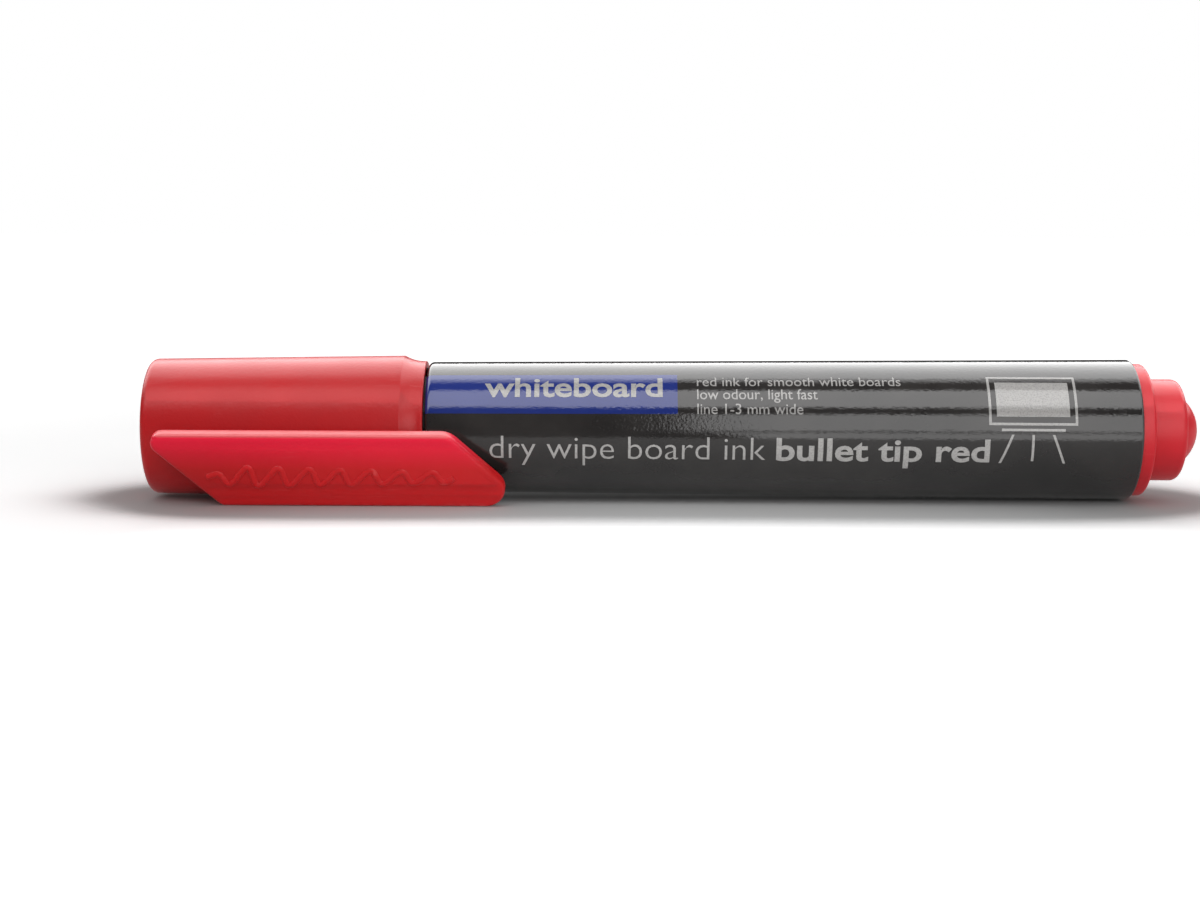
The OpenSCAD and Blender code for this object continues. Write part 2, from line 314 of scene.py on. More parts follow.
def makeRippleGroup():
    # the slight orange peel of film shrunk on a tube, with faint lengthwise tension lines
    group, give, take = newGroup("filmRipple", [("Ripple Scale", 900)], ["Height", "Cloud"])
    form = rippleForm
    spot = objectSpot(group)
    peel = cloudy(group, spot, give.outputs["Ripple Scale"], form["detail"], Roughness=form["uneven"])
    pull = cloudy(group, objectSpot(group, scale=form["pullStretch"]), form["pullScale"], 2.0)
    cloud = cloudy(group, spot, form["cloudScale"], form["cloudDetail"])
    height = addNode(group, "Mix", {"data_type": "FLOAT"}, in0=form["pull"], in2=peel, in3=pull)
    group.links.new(height.outputs["Result"], take.inputs["Height"])
    group.links.new(stretched(group, cloud, *form["cloud"]), take.inputs["Cloud"])
    return group


def makeFibreGroup():
    # bundled fibres that run along the marker
    group, give, take = newGroup("fibreStreaks", [("Fibre Scale", 3200)], ["Height", "Streak", "Cloud"])
    form = fibreForm
    along = objectSpot(group, scale=form["stretch"])
    fibre = cloudy(group, along, give.outputs["Fibre Scale"], form["detail"])
    cloud = cloudy(group, objectSpot(group), form["cloudScale"], form["cloudDetail"])
    group.links.new(fibre, take.inputs["Height"])
    group.links.new(stretched(group, fibre, *form["streak"]), take.inputs["Streak"])
    group.links.new(stretched(group, cloud, *form["cloud"]), take.inputs["Cloud"])
    return group


groups = {"grain": makeGrainGroup(), "wear": makeWearGroup(), "ripple": makeRippleGroup(),
          "fibre": makeFibreGroup()}
print("surface patterns ready")


# the clip's blade, drawn level: x from the cap's end, y out from the axis, z up and down the blade
clip = {"innerY": 9.8, "thick": 1.5, "height": 10.4, "edgeLen": 39.8, "lean": 10.2, "heelRound": 1.5,
        "toeRound": 2.5, "topRound": 2.8, "lowRound": 1.2, "bandW": 0.95, "bandD": 0.05, "crown": 0.3,
        "crownZ": -0.8, "rowStep": 0.4, "mostRows": 21, "edgeSoft": 0.5, "backSoft": 0.15,
        "lowExtra": 0.16}


def capTurn():
    # the turn at which the blade's lower outer edge comes down to the surface
    outerY = clip["innerY"] + clip["thick"]
    halfHeight = clip["height"] / 2
    return math.asin(crestR / math.hypot(outerY, halfHeight)) - math.atan(halfHeight / outerY)


# materials
def startMaterial(name):
    material = bpy.data.materials.new(name)
    material.use_nodes = True
    return material, material.node_tree, material.node_tree.nodes["Principled BSDF"]


def addGroup(tree, key, **values):
    node = tree.nodes.new("ShaderNodeGroup")
    node.node_tree = groups[key]
    for label, value in values.items():
        node.inputs[label.replace("_", " ")].default_value = value
    return node


def blendColours(tree, mask, colour0, colour1):
    # mask is a socket; either colour may be a socket or plain numbers
    node = addNode(tree, "Mix", {"data_type": "RGBA"}, in0=mask)
    for slot, colour in ((6, colour0), (7, colour1)):
        if isinstance(colour, bpy.types.NodeSocket):
            tree.links.new(colour, node.inputs[slot])
        else:
            node.inputs[slot].default_value = (*colour, 1)
    return node.outputs[2]


def addBump(tree, shader, height, distance):
    bump = addNode(tree, "Bump", Height=height, Distance=distance, Strength=1.0)
    tree.links.new(bump.outputs["Normal"], shader.inputs["Normal"])


def addBladePaintedLight(tree, colour, look):
    # painted light: the thin blade gets a painted glow towards its upper edge, standing in for the light it
    # lets through; the whole blade is painted brighter than the shell, and a painted highlight makes its rim
    # palest
    spot = addNode(tree, "VectorRotate", {"rotation_type": "X_AXIS"},
                   Vector=objectSpot(tree, location=-mouth), Angle=-capTurn()).outputs["Vector"]
    parts = addNode(tree, "SeparateXYZ", Vector=spot)
    outer = stretched(tree, parts.outputs["Y"], -look["bladeY"] * mm,
                      -(look["bladeY"] + look["bladeFade"]) * mm)
    upper = stretched(tree, parts.outputs["Z"], look["paintedGlowLow"] * mm, look["paintedGlowHigh"] * mm)
    rim = stretched(tree, parts.outputs["Z"], look["rimLow"] * mm, look["rimHigh"] * mm)
    # painted light: the whole blade is painted brighter than the shell
    colour = blendColours(tree, outer, colour, look["bladeColour"])
    # painted glow of light let through the blade, brighter towards its upper edge
    colour = blendColours(tree, maths(tree, "MULTIPLY", outer, upper), colour, look["paintedGlowColour"])
    # painted highlight along the blade's top rim
    return blendColours(tree, maths(tree, "MULTIPLY", outer, rim), colour, look["rimColour"])


scratchRough = 0.12   # how much duller a scratch is


def plasticMaterial(name, look):
    material, tree, shader = startMaterial(name)
    grain = addGroup(tree, "grain", Grain_Scale=look["grainScale"], Cloud_Scale=look["cloudScale"])
    wear = addGroup(tree, "wear", Start=look["wearStart"], End=look["wearEnd"])
    colour = blendColours(tree, grain.outputs["Cloud"], look["colour"], look["shade"])
    if "bladeColour" in look:
        colour = addBladePaintedLight(tree, colour, look)
    for mask, amount in ((grain.outputs["Scratch"], look["scratch"]), (wear.outputs["Wear"], look["wear"])):
        colour = blendColours(tree, maths(tree, "MULTIPLY", mask, amount), colour, look["rubbed"])
    tree.links.new(colour, shader.inputs["Base Color"])
    rough = stretched(tree, grain.outputs["Cloud"], 0, 1, look["roughLow"], look["roughHigh"])
    rough = maths(tree, "ADD", rough, maths(tree, "MULTIPLY", grain.outputs["Scratch"], scratchRough))
    tree.links.new(rough, shader.inputs["Roughness"])
    addBump(tree, shader, grain.outputs["Height"], look["bump"])
    if "gloss" in look:
        shader.inputs["Specular IOR Level"].default_value = look["gloss"]
    return material


# the blade's heights and depths are in mm, bumps are in metres
capLook = {"colour": (0.43, 0.0085, 0.011), "shade": (0.385, 0.007, 0.009), "rubbed": (0.62, 0.10, 0.10),
           # the blade's colour is painted brighter than the shell's, as painted light
           "bladeColour": (0.49, 0.008, 0.0105), "bladeY": 9.6, "bladeFade": 0.6,
           # a painted glow, standing in for light let through, brightest towards the blade's upper edge
           "paintedGlowColour": (0.74, 0.0065, 0.036), "paintedGlowLow": 0.4, "paintedGlowHigh": 4.6,
           # a painted highlight along the blade's top rim
           "rimColour": (0.68, 0.12, 0.13), "rimLow": 4.8, "rimHigh": 5.1,
           "grainScale": 2600, "cloudScale": 130, "wearStart": 0.535, "wearEnd": 0.66, "wear": 0.35,
           "scratch": 0.12, "roughLow": 0.282, "roughHigh": 0.335, "bump": 1.8e-5, "gloss": 0.27}
plugLook = {"colour": (0.57, 0.014, 0.024), "shade": (0.51, 0.011, 0.019), "rubbed": (0.70, 0.14, 0.14),
            "grainScale": 2000, "cloudScale": 160, "wearStart": 0.53, "wearEnd": 0.64, "wear": 0.3,
            "scratch": 0.1, "roughLow": 0.33, "roughHigh": 0.42, "bump": 8e-6, "gloss": 0.3}
linerLook = {"colour": (0.80, 0.79, 0.76), "shade": (0.74, 0.73, 0.70), "rubbed": (0.88, 0.87, 0.85),
             "grainScale": 1500, "cloudScale": 200, "wearStart": 0.53, "wearEnd": 0.66, "wear": 0.2,
             "scratch": 0.15, "roughLow": 0.36, "roughHigh": 0.46, "bump": 8e-6}
barrelLook = {"colour": (0.020, 0.019, 0.019), "shade": (0.028, 0.027, 0.026), "rubbed": (0.10, 0.10, 0.10),
              "grainScale": 1900, "cloudScale": 150, "wearStart": 0.53, "wearEnd": 0.64, "wear": 0.4,
              "scratch": 0.3, "roughLow": 0.28, "roughHigh": 0.38, "bump": 8e-6}
noseLook = {"colour": (0.045, 0.044, 0.044), "shade": (0.060, 0.058, 0.056), "rubbed": (0.16, 0.16, 0.16),
            "grainScale": 2100, "cloudScale": 220, "wearStart": 0.53, "wearEnd": 0.64, "wear": 0.4,
            "scratch": 0.3, "roughLow": 0.30, "roughHigh": 0.42, "bump": 8e-6}

panelLook = {"startX": -1, "endX": 32.6, "lowAngle": 18, "highAngle": 57.5}
filmLook = {"black": (0.014, 0.0128, 0.0125), "dusty": (0.024, 0.022, 0.021), "blue": (0.011, 0.021, 0.13),
            "paleBlue": (0.016, 0.027, 0.15), "rippleScale": 2500, "bump": 2.3e-5,
            "roughLow": 0.04, "roughHigh": 0.085}


def addRipple(tree, shader, look):
    # the uneven gloss and the ripples of film; gives back the cloudy mask
    ripple = addGroup(tree, "ripple", Ripple_Scale=look["rippleScale"])
    rough = stretched(tree, ripple.outputs["Cloud"], 0, 1, look["roughLow"], look["roughHigh"])
    tree.links.new(rough, shader.inputs["Roughness"])
    addBump(tree, shader, ripple.outputs["Height"], look["bump"])
    return ripple.outputs["Cloud"]


def filmMaterial():
    # glossy black film; the panel behind the front marking is printed blue
    material, tree, shader = startMaterial("labelFilm")
    cloud = addRipple(tree, shader, filmLook)
    parts = addNode(tree, "SeparateXYZ", Vector=objectSpot(tree, location=-mouth))
    x = parts.outputs["X"]
    angle = maths(tree, "ARCTAN2", parts.outputs["Z"], maths(tree, "MULTIPLY", parts.outputs["Y"], -1))
    mask = maths(tree, "GREATER_THAN", x, panelLook["startX"] * mm)
    for value, operation, limit in ((x, "LESS_THAN", panelLook["endX"] * mm),
                                    (angle, "GREATER_THAN", math.radians(panelLook["lowAngle"])),
                                    (angle, "LESS_THAN", math.radians(panelLook["highAngle"]))):
        mask = maths(tree, "MULTIPLY", mask, maths(tree, operation, value, limit))
    black = blendColours(tree, cloud, filmLook["black"], filmLook["dusty"])
    blue = blendColours(tree, cloud, filmLook["blue"], filmLook["paleBlue"])
    tree.links.new(blendColours(tree, mask, black, blue), shader.inputs["Base Color"])
    return material


printLook = {"grey": (0.36, 0.35, 0.34), "thin": (0.24, 0.235, 0.23), "speckScale": 5200.0,
             "speckDetail": 3.0, "speck": (0.42, 0.75)}


def printMaterial():
    # light grey ink under the film's gloss, a little uneven
    material, tree, shader = startMaterial("printInk")
    addRipple(tree, shader, filmLook)
    speck = cloudy(tree, objectSpot(tree), printLook["speckScale"], printLook["speckDetail"])
    mask = stretched(tree, speck, *printLook["speck"])
    tree.links.new(blendColours(tree, mask, printLook["grey"], printLook["thin"]), shader.inputs["Base Color"])
    return material


nibLook = {"pale": (0.70, 0.10, 0.08), "inked": (0.42, 0.015, 0.02), "fibreScale": 3200, "bump": 3e-5,
           "roughLow": 0.75, "roughHigh": 0.92}
coreLook = {"pale": (0.80, 0.62, 0.60), "inked": (0.55, 0.05, 0.06), "fibreScale": 3200, "bump": 4e-5,
            "roughLow": 0.8, "roughHigh": 0.95}


def fibreMaterial(name, look):
    material, tree, shader = startMaterial(name)
    fibre = addGroup(tree, "fibre", Fibre_Scale=look["fibreScale"])
    streak = fibre.outputs["Streak"]
    mask = maths(tree, "MULTIPLY", streak, fibre.outputs["Cloud"])
    tree.links.new(blendColours(tree, mask, look["inked"], look["pale"]), shader.inputs["Base Color"])
    rough = stretched(tree, streak, 0, 1, look["roughLow"], look["roughHigh"])
    tree.links.new(rough, shader.inputs["Roughness"])
    addBump(tree, shader, fibre.outputs["Height"], look["bump"])
    return material


wrapLook = {"cool": (0.72, 0.76, 0.78), "warm": (0.80, 0.70, 0.70), "rippleScale": 500, "bump": 4e-5,
            "roughLow": 0.12, "roughHigh": 0.24}


def wrapMaterial():
    # the thin pale jacket round the ink core
    material, tree, shader = startMaterial("coreJacket")
    cloud = addRipple(tree, shader, wrapLook)
    tree.links.new(blendColours(tree, cloud, wrapLook["cool"], wrapLook["warm"]), shader.inputs["Base Color"])
    return material


looks = {"cap": plasticMaterial("capPlastic", capLook), "plug": plasticMaterial("plugPlastic", plugLook),
         "liner": plasticMaterial("linerPlastic", linerLook),
         "barrel": plasticMaterial("barrelPlastic", barrelLook),
         "nose": plasticMaterial("nosePlastic", noseLook), "film": filmMaterial(), "print": printMaterial(),
         "nib": fibreMaterial("nibFibre", nibLook), "core": fibreMaterial("coreFibre", coreLook),
         "wrap": wrapMaterial()}

# the ink core and its jacket keep the shapes they came with
for nodeName, look in (("ink_reservoir", "core"), ("reservoir_wrap", "wrap")):
    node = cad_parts[nodeName]
    node.data.materials.clear()
    node.data.materials.append(looks[look])
print("materials ready")


# barrel and its film
barrel = {"frontR": 8.525, "shoulderX": 0.3, "shoulderRound": 0.7, "tailRound": 0.3, "wall": 1.2,
          "filmT": 0.06, "fitR": 6.65, "neckWall": 1.0, "seatR": 6.53, "seatLen": 1.5, "rampLen": 6,
          "edge": 0.35, "footRound": 0.15, "boreRound": 0.1, "mouthRound": 0.2}
film = {"reach": 0.04, "tuck": 0.03, "dip": 0.02, "extraRound": 0.05, "tailRound": 0.03, "tailDip": 0.01}
slope = (tailR - barrel["frontR"]) / (tailX - barrel["shoulderX"])


def filmR(x):
    return barrel["frontR"] + slope * (x - barrel["shoulderX"])


def skinR(x):
    return filmR(x) - barrel["filmT"]


def boreR(x):
    return skinR(x) - barrel["wall"]


def makeBarrel():
    start = barrel["shoulderX"]
    rampX = coreX + barrel["rampLen"]
    neckR = barrel["fitR"] - barrel["neckWall"]
    piece = turnProfile("barrelTube", [
        (-neckLen, barrel["fitR"], barrel["edge"]), (start, barrel["fitR"], barrel["footRound"]),
        (start, skinR(0), barrel["shoulderRound"]), (tailX, skinR(tailX), barrel["tailRound"]),
        (tailX, boreR(tailX), barrel["boreRound"]), (rampX, boreR(rampX)),
        (coreX + barrel["seatLen"], barrel["seatR"]), (coreX, barrel["seatR"], barrel["boreRound"]),
        (coreX, neckR, barrel["boreRound"]), (-neckLen, neckR, barrel["mouthRound"])])
    settle(piece)
    finished(piece, "pen", "barrel_plastic", looks["barrel"], "barrel")


def makeFilm():
    # the film is drawn down over the shoulder
    inside = barrel["shoulderX"] + film["tuck"]
    outside = barrel["shoulderX"] - film["reach"]
    end = tailX - barrel["tailRound"]
    turn = barrel["shoulderRound"]
    piece = turnProfile("labelFilm", [
        (inside, skinR(0) - turn), (outside, skinR(0) - turn - film["dip"]),
        (outside, filmR(0), turn + film["extraRound"]), (end, filmR(end), film["tailRound"]),
        (end, skinR(end) - film["tailDip"]), (inside, skinR(0) - film["dip"], turn)], steps=192)
    settle(piece)
    finished(piece, "pen", "label_film", looks["film"], "barrel_label")


makeBarrel()
makeFilm()


# nose section
nose = {"landX": -14.7, "landBackX": -10.4, "sealR": 5.80, "coneR": 4.5, "boreR": 2.4, "tipR": 3.4,
        "airR": 4.7, "chamberR": 4.55, "tipExtra": 0.3, "tipRound": 0.45, "coneBack": 0.8, "fitStep": 0.25,
        "slack": 0.01, "airBack": 1.5, "boreBack": 0.5, "grooveW": 0.6, "grooveR": 2.75,
        "grooveTurns": (45, 225)}


def cutGroove(piece, turn):
    # an air groove beside the nib; the cutter stands one mm out at both ends
    length = nose["landX"] - noseX + 2
    cutter = startBox("grooveCutter", (length, nose["grooveW"], nose["grooveR"]),
                      (noseX - 1 + length / 2, 0, nose["grooveR"] / 2))
    bpy.ops.object.mode_set(mode="OBJECT")
    cutter.rotation_euler.x = math.radians(turn)
    bpy.ops.object.transform_apply(rotation=True)
    only(piece)
    cut = piece.modifiers.new("airGroove", "BOOLEAN")
    cut.operation = "DIFFERENCE"
    cut.object = cutter
    bpy.ops.object.modifier_apply(modifier=cut.name)
    bpy.data.objects.remove(cutter)


def makeNose():
    landX = nose["landX"]
    backX = -neckLen - nose["slack"]
    pressR = barrel["fitR"] - barrel["neckWall"] - nose["slack"]
    piece = turnProfile("noseSection", [
        (noseX, nose["boreR"], 0.1), (noseX, nose["tipR"] + nose["tipExtra"], nose["tipRound"]),
        (landX - nose["coneBack"], nose["coneR"], 0.3), (landX, nose["sealR"], 0.25),
        (nose["landBackX"], nose["sealR"], 0.2), (backX, barrel["fitR"] - nose["fitStep"], 0.15),
        (backX, pressR), (coreX, pressR), (coreX, nose["chamberR"]), (-neckLen, nose["chamberR"]),
        (landX + nose["airBack"], nose["airR"]), (landX + nose["boreBack"], nose["boreR"])])
    for turn in nose["grooveTurns"]:
        cutGroove(piece, turn)
    smooth(piece)
    settle(piece)
    finished(piece, "pen", "nose_plastic", looks["nose"], "nose_section")


# nib
nib = {"r": 2.4, "flatR": 0.7, "tipLen": 2.6, "tipSteps": 14, "endX": 12.5, "rearLen": 1.5, "rearR": 0.5,
       "slack": 0.01}


def makeNib():
    tip = [(nibTipX, 0)]
    for k in range(nib["tipSteps"] + 1):
        angle = math.pi / 2 * k / nib["tipSteps"]
        tip.append((nibTipX + nib["tipLen"] * (1 - math.cos(angle)),
                    nib["flatR"] + (nib["r"] - nib["flatR"]) * math.sin(angle)))
    rear = [(nib["endX"] - nib["rearLen"], nib["r"] - nib["slack"], 0.3),
            (nib["endX"], nib["rearR"], 0.2), (nib["endX"], 0)]
    piece = turnProfile("bulletNib", tip + rear, closed=False, steps=96, angle=40)
    settle(piece)
    finished(piece, "pen", "nib_fibre", looks["nib"], "nib")


# end plug
plug = {"flangeStep": 0.55, "flangeT": 1.75, "flangeRound": 0.5, "postLen": 4.7, "postRound": 0.9,
        "postR": 6.65, "footRound": 0.25, "pipR": 5.5, "pipH": 2.6, "pipSteps": 12, "wall": 1.2,
        "edge": 0.4, "innerStep": 0.4, "innerRound": 0.3, "hollowFrom": -0.5, "hollowTo": 1, "slack": 0.05}


def makePlug():
    flangeR = tailR - plug["flangeStep"]
    flangeX = tailX + plug["flangeT"]
    postX = flangeX + plug["postLen"]
    hollowR = boreR(plugX) - plug["wall"]
    innerR = plug["postR"] - plug["wall"]
    # dome: half chord from its height, then an arc up to the middle
    chord = math.sqrt(plug["pipH"] * (2 * plug["pipR"] - plug["pipH"]))
    edgeAngle = math.asin(chord / plug["pipR"])
    dome = []
    for k in range(plug["pipSteps"] + 1):
        angle = edgeAngle * (1 - k / plug["pipSteps"])
        dome.append((pipX - plug["pipR"] + plug["pipR"] * math.cos(angle), plug["pipR"] * math.sin(angle)))
    outline = [
        (postX - plug["wall"], 0), (postX - plug["wall"], innerR - plug["innerStep"], plug["innerRound"]),
        (postX - 2 * plug["wall"], innerR, plug["innerRound"]), (tailX + plug["hollowTo"], innerR),
        (tailX + plug["hollowFrom"], hollowR), (plugX, hollowR, 0.2),
        (plugX, boreR(plugX) - plug["slack"], plug["edge"]), (tailX, boreR(tailX)), (tailX, flangeR),
        (flangeX, flangeR, plug["flangeRound"]), (flangeX, plug["postR"], plug["footRound"]),
        (postX, plug["postR"], plug["postRound"])]
    piece = turnProfile("endPlug", outline + dome, closed=False, angle=30)
    settle(piece)
    finished(piece, "pen", "plug_plastic", looks["plug"], "end_plug")


makeNose()
makeNib()
makePlug()


# liner
liner = {"wall": 0.85, "floor": 0.85, "edge": 0.35, "mouthRound": 0.2, "leadRound": 0.3, "floorRound": 0.5}


def makeLiner():
    inner = linerR - liner["wall"]
    floorX = linerEndX + liner["floor"]
    piece = turnProfile("linerCup", [
        (linerEndX, 0), (linerEndX, linerR, liner["edge"]), (linerMouthX, linerR, liner["mouthRound"]),
        (linerMouthX, inner, liner["leadRound"]), (floorX, inner, liner["floorRound"]), (floorX, 0)],
        closed=False)
    settle(piece)
    finished(piece, "liner", "liner_plastic", looks["liner"], "cap_liner")


makeLiner()


# the cap is drawn with its clip's blade level, and then turned
cap = {"lipR": 8.65, "crestX": -2.9, "crestRound": 0.25, "neckStart": 0.2, "neckEase": 0.45,
       "neckDrop": 0.1, "neckSteps": 14, "taper": 0.525, "endRound": 1.0, "wall": 1.2, "endWall": 1.3,
       "hollowR": 7.7, "hollowRound": 0.15, "lipRound": 0.12, "floorExtra": 0.05, "floorRound": 0.4}
rib = {"count": 8, "thick": 0.8, "gripR": 6.72, "mouthX": -0.8, "intoEnd": 0.2, "edge": 0.25}


def makeShell():
    endR = crestR - cap["taper"]
    lipR = cap["lipR"]
    floorX = capEndX + cap["endWall"]
    floorR = endR - cap["wall"] + cap["floorExtra"]
    start = cap["crestX"] + cap["neckStart"]
    neck = []
    for k in range(cap["neckSteps"] + 1):
        t = k / cap["neckSteps"]
        neck.append((start + (-cap["neckEase"] - start) * t,
                     lipR + (crestR - lipR - cap["neckDrop"]) * (1 - t) ** 2))
    outside = [(capEndX, 0), (capEndX, endR, cap["endRound"]), (cap["crestX"], crestR, cap["crestRound"])]
    inside = [(0, lipR, cap["lipRound"]), (0, cap["hollowR"], cap["hollowRound"]),
              (cap["crestX"], cap["hollowR"]), (floorX, floorR, cap["floorRound"]), (floorX, 0)]
    return turnProfile("capShell", outside + neck + inside, closed=False, steps=192, angle=28)


def makeRib():
    # one gripping rib, standing inside the shell on the +Z side
    rootR = crestR - cap["taper"] - cap["wall"] / 2
    gripR = rib["gripR"]
    length = rib["mouthX"] - (capEndX + cap["endWall"] - rib["intoEnd"])
    height = rootR - gripR
    piece = startBox("capRib", (length, rib["thick"], height),
                     (rib["mouthX"] - length / 2, 0, gripR + height / 2))
    # round its sliding edge and its lead-in
    selectWhere(piece, "edges", lambda a, b: min(a.z, b.z) < gripR + 0.01 and max(a.z, b.z) < rootR - 0.1)
    bpy.ops.mesh.bevel(offset=rib["edge"] * mm, segments=3, affect="EDGES")
    bpy.ops.object.mode_set(mode="OBJECT")
    return piece


def makeRibs():
    ribs = [makeRib()]
    for k in range(1, rib["count"]):
        piece = ribs[0].copy()
        piece.data = ribs[0].data.copy()
        bpy.context.scene.collection.objects.link(piece)
        ribs.append(piece)
    for k, piece in enumerate(ribs):
        only(piece)
        piece.rotation_euler = (2 * math.pi * (k + 0.5) / rib["count"], 0, 0)
        bpy.ops.object.transform_apply(rotation=True)
    return ribs


def bladeCrown(z):
    # how far the face stands out at height z: rounder towards the upper edge, flatter below
    top = clip["height"] / 2 - clip["bandW"]
    peak = clip["crownZ"]
    reach = top - peak if z > peak else top + peak
    return max(0, clip["crown"] * (1 - ((z - peak) / reach) ** 2))


def softenRim(piece, y, width, segments):
    # the edges that lie at depth y
    selectWhere(piece, "edges", lambda a, b: abs(a.y - y) < 0.004 and abs(b.y - y) < 0.004)
    bpy.ops.mesh.bevel(offset=width * mm, segments=segments, affect="EDGES")


def makeBlade():
    half = clip["height"] / 2
    low = -half - clip["lowExtra"]
    shift = clip["lean"] * (half - low) / clip["height"]
    frontY = -(clip["innerY"] + clip["thick"])
    backY = -clip["innerY"]
    faceY = frontY - clip["bandD"]
    step = clip["rowStep"]
    left = capEndX
    right = capEndX + clip["edgeLen"]
    corners = [(left, half, clip["heelRound"]), (right, half, clip["topRound"]),
               (right + shift, low, clip["toeRound"]), (left + shift, low, clip["lowRound"])]
    outline = softOutline(corners, True)
    blade = drawLine("clipBlade", [Vector((x, frontY, z)) * mm for x, z in outline + outline[:1]])
    bpy.ops.mesh.edge_face_add()
    bpy.ops.mesh.select_mode(type="FACE")
    bpy.ops.mesh.select_all(action="SELECT")
    bpy.ops.mesh.extrude_region_move(TRANSFORM_OT_translate={"value": (0, (backY - frontY) * mm, 0)})
    bpy.ops.mesh.select_all(action="SELECT")
    bpy.ops.mesh.normals_make_consistent(inside=False)
    # a sloping band round the face, then the face itself is cut in rows and crowned
    selectWhere(blade, "faces", lambda c, n: n.y < -0.9)
    bpy.ops.mesh.inset(thickness=clip["bandW"] * mm, depth=clip["bandD"] * mm)
    rows = [half - clip["bandW"] - step - step * k for k in range(clip["mostRows"])]
    rows = [z for z in rows if z > low + clip["bandW"] + step / 2]
    for z in rows:
        selectWhere(blade, "faces", lambda c, n: n.y < -0.99 and abs(c.y - faceY) < 0.01)
        bpy.ops.mesh.bisect(plane_co=(0, 0, z * mm), plane_no=(0, 0, 1))
    for z in rows:
        selectWhere(blade, "verts", lambda v: abs(v.z - z) < 0.005 and abs(v.y - faceY) < 0.01)
        bpy.ops.transform.translate(value=(0, -bladeCrown(z) * mm, 0))
    softenRim(blade, frontY, clip["edgeSoft"], 8)
    softenRim(blade, backY, clip["backSoft"], 3)
    bpy.ops.object.mode_set(mode="OBJECT")
    smooth(blade, 40)
    return blade, faceY


bridge = {"length": 9, "height": 5, "intoBlade": 0.3, "intoWall": 0.6, "foot": (1.08, 1, 1.12), "edge": 0.8}


def makeBridge():
    bottomR = crestR - cap["taper"] - cap["wall"] * bridge["intoWall"]
    depth = clip["innerY"] + bridge["intoBlade"] - bottomR
    middleX = capEndX + clip["lean"] + bridge["length"] / 2
    piece = startBox("clipBridge", (bridge["length"], depth, bridge["height"]),
                     (middleX, -bottomR - depth / 2, 0))
    # widen its foot where it runs into the cap's wall, then round its long corners
    selectWhere(piece, "faces", lambda c, n: n.y > 0.9)
    bpy.ops.transform.resize(value=bridge["foot"])
    selectWhere(piece, "edges", lambda a, b: abs(a.y - b.y) > 0.5)
    bpy.ops.mesh.bevel(offset=bridge["edge"] * mm, segments=5, affect="EDGES")
    bpy.ops.object.mode_set(mode="OBJECT")
    smooth(piece, 30)
    return piece


bead = {"x": 39.8, "r": 1.1, "stretch": (1.6, 1, 1.2), "standOff": 0.2}


def makeBead():
    # the small bump behind the blade's free end, which holds cloth or paper
    clearSelection()
    bpy.ops.mesh.primitive_uv_sphere_add(segments=48, ring_count=24, radius=bead["r"] * mm)
    piece = bpy.context.object
    piece.name = "clipBead"
    place = Vector((capEndX + bead["x"], -clip["innerY"] - bead["standOff"], 0))
    bpy.ops.object.mode_set(mode="EDIT")
    bpy.ops.mesh.select_all(action="SELECT")
    bpy.ops.transform.resize(value=bead["stretch"])
    bpy.ops.transform.translate(value=place * mm)
    bpy.ops.object.mode_set(mode="OBJECT")
    smooth(piece, 60)
    return piece


wave = {"startX": -27.2, "endX": 4.2, "midZ": -0.7, "swing": 1.5, "beats": 8, "beatSteps": 24,
        "calm": 0.55, "growth": 8, "lean": 0.3, "strokeR": 0.42, "raise": 0.17}


def makeWave(faceY):
    # a raised wavy pen stroke along the blade's face
    count = wave["beats"] * wave["beatSteps"]
    spots = []
    for k in range(count + 1):
        t = k / count
        swell = min(1, t * wave["growth"]) * (1 - wave["calm"] * t)
        rise = wave["swing"] * swell * math.sin(2 * math.pi * wave["beats"] * t)
        x = wave["startX"] + (wave["endX"] - wave["startX"]) * t + wave["lean"] * rise
        z = wave["midZ"] + rise
        spots.append(Vector((x, faceY - bladeCrown(z), z)) * mm)
    drawLine("clipWave", spots)
    bpy.ops.object.mode_set(mode="OBJECT")
    bpy.ops.object.convert(target="CURVE")
    stroke = bpy.context.object
    stroke.data.bevel_depth = wave["strokeR"] * mm
    stroke.data.bevel_resolution = 4
    stroke.data.use_fill_caps = True
    bpy.ops.object.convert(target="MESH")
    stroke = bpy.context.object
    # press the round stroke down to a low swell on the face
    squash = wave["raise"] / wave["strokeR"]
    for v in stroke.data.vertices:
        ground = faceY - bladeCrown(v.co.z / mm)
        v.co.y = (ground + (v.co.y / mm - ground) * squash) * mm
    smooth(stroke, 60)
    return stroke


def makeCap():
    shell = makeShell()
    blade, faceY = makeBlade()
    piece = joined("capMoulding", shell, *makeRibs(), blade, makeBridge(), makeBead(), makeWave(faceY))
    settle(piece, capTurn())
    finished(piece, "cap", "cap_plastic", looks["cap"], "cap")


makeCap()
print("pieces made")


# markings printed on the film, drawn flat in mm and one unit thick, then wrapped round it
ink = {"proud": 0.02, "sunk": 0.01, "rowStep": 0.45, "smooth": 20}


def wrapRound(piece, startX, baseAngle, proud):
    # x runs along the film, y becomes arc length from baseAngle, and z becomes thickness
    for v in piece.data.vertices:
        x = startX + v.co.x
        r = filmR(x) - ink["sunk"] + v.co.z * (proud + ink["sunk"])
        angle = math.radians(baseAngle) + v.co.y / filmR(x)
        v.co = mouth + Vector((x, -r * math.cos(angle), r * math.sin(angle))) * mm


def cutRows(piece, low, high, step):
    # lines across the flat shape, so that it can follow the barrel's curve
    only(piece)
    bpy.ops.object.mode_set(mode="EDIT")
    y = low + step / 2
    while y < high:
        bpy.ops.mesh.select_all(action="SELECT")
        bpy.ops.mesh.bisect(plane_co=(0, y, 0), plane_no=(0, 1, 0))
        y += step
    bpy.ops.object.mode_set(mode="OBJECT")


